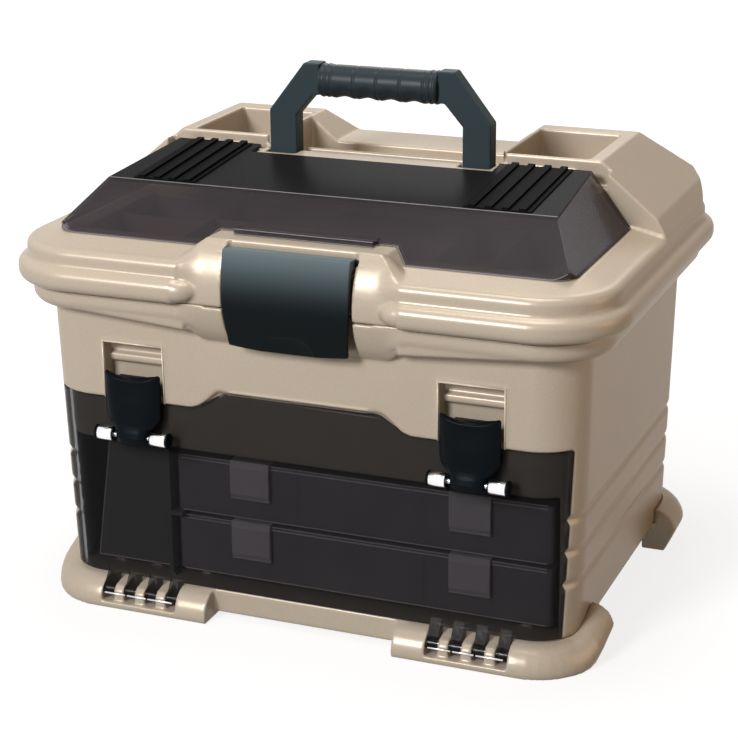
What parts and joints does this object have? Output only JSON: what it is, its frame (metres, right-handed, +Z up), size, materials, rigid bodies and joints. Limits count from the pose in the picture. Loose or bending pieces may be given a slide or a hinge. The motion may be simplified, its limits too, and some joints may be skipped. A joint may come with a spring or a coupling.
{
  "type": "fishing tackle cabinet",
  "caption": "Moulded carry box with a lift-up lid, a windowed hatch over an organiser, a drop-down see-through front door, slide-out trays and a fold-down handle.",
  "frame": {"origin": "ground level under the middle of the box's outline", "axes": "+X to the box's right seen from the front, -Y towards the front door, +Z up"},
  "size_m": [0.45, 0.344, 0.38],
  "materials": {
    "shell_gold": "moulded polypropylene with a fine pearl flake",
    "smoke_window": "smoke-tinted clear styrene, polished",
    "latch_black": "blue-black semi-gloss with light leather grain",
    "grip_black": "blue-black moulded grip, satin",
    "pin_steel": "drawn wire",
    "tray_smoke": "frosted clear polypropylene",
    "tub_grey": "plain moulded plastic"
  },
  "bodies": {
    "cabinet": {"cabinet_shell": "shell_gold", "base_frame": "shell_gold", "door_hinge_rods": "pin_steel", "lid_hinge_pins": "pin_steel", "bulk_shelf": "shell_gold", "bay_divider": "tub_grey", "side_rail": "tub_grey"},
    "lid": {"lid_shell": "shell_gold", "lid_organiser": "tub_grey", "organiser_dividers": "tub_grey", "handle_pins": "pin_steel", "hatch_hinge_pins": "pin_steel", "lid_latch_pin": "pin_steel"},
    "hatch": {"hatch_window": "smoke_window", "hatch_grip_pads": "latch_black"},
    "handle": {"handle_frame": "latch_black", "handle_grip": "grip_black"},
    "lid_latch": {"lid_latch_cover": "latch_black"},
    "door": {"door_panel": "smoke_window", "door_latch_pins": "pin_steel"},
    "door_latch_left": {"door_latch_left": "latch_black"},
    "door_latch_right": {"door_latch_right": "latch_black"},
    "side_bin": {"side_bin": "tray_smoke"},
    "tray_lower": {"tray_lower_base": "tray_smoke", "tray_lower_cover": "tray_smoke", "tray_lower_rod": "pin_steel", "tray_lower_latches": "tray_smoke", "tray_lower_dividers": "tray_smoke"},
    "tray_upper": {"tray_upper_base": "tray_smoke", "tray_upper_cover": "tray_smoke", "tray_upper_rod": "pin_steel", "tray_upper_latches": "tray_smoke", "tray_upper_dividers": "tray_smoke"}
  },
  "joints": [
    {"name": "lid_hinge", "type": "hinge", "parent": "cabinet", "child": "lid", "pos_m": [0, 0.167, 0.243], "axis": [-1, 0, 0], "range_deg": [0, 95]},
    {"name": "hatch_hinge", "type": "hinge", "parent": "lid", "child": "hatch", "pos_m": [0, 0.011, 0.311], "axis": [-1, 0, 0], "range_deg": [0, 58]},
    {"name": "handle_fold", "type": "hinge", "parent": "lid", "child": "handle", "pos_m": [0, 0.013, 0.306], "axis": [-1, 0, 0], "range_deg": [0, 90]},
    {"name": "lid_latch_swing", "type": "hinge", "parent": "lid", "child": "lid_latch", "pos_m": [0, -0.1515, 0.28], "axis": [-1, 0, 0], "range_deg": [0, 85]},
    {"name": "door_hinge", "type": "hinge", "parent": "cabinet", "child": "door", "pos_m": [0, -0.15, 0.013], "axis": [1, 0, 0], "range_deg": [0, 90]},
    {"name": "door_latch_left_swing", "type": "hinge", "parent": "door", "child": "door_latch_left", "pos_m": [-0.126, -0.15194, 0.136], "axis": [1, 0, 0], "range_deg": [0, 85]},
    {"name": "door_latch_right_swing", "type": "hinge", "parent": "door", "child": "door_latch_right", "pos_m": [0.126, -0.15194, 0.136], "axis": [1, 0, 0], "range_deg": [0, 85]},
    {"name": "tray_lower_slide", "type": "slide", "parent": "cabinet", "child": "tray_lower", "axis": [0, -1, 0], "range_m": [0, 0.0316]},
    {"name": "tray_upper_slide", "type": "slide", "parent": "cabinet", "child": "tray_upper", "axis": [0, -1, 0], "range_m": [0, 0.1258]},
    {"name": "side_bin_slide", "type": "slide", "parent": "cabinet", "child": "side_bin", "axis": [0, -1, 0], "range_m": [0, 0.0316]}
  ],
  "couplings": [
    {"joint": "tray_lower_slide", "follows": "door_hinge", "m_per_rad": 0.02},
    {"joint": "tray_upper_slide", "follows": "door_hinge", "m_per_rad": 0.08},
    {"joint": "side_bin_slide", "follows": "door_hinge", "m_per_rad": 0.02}
  ]
}
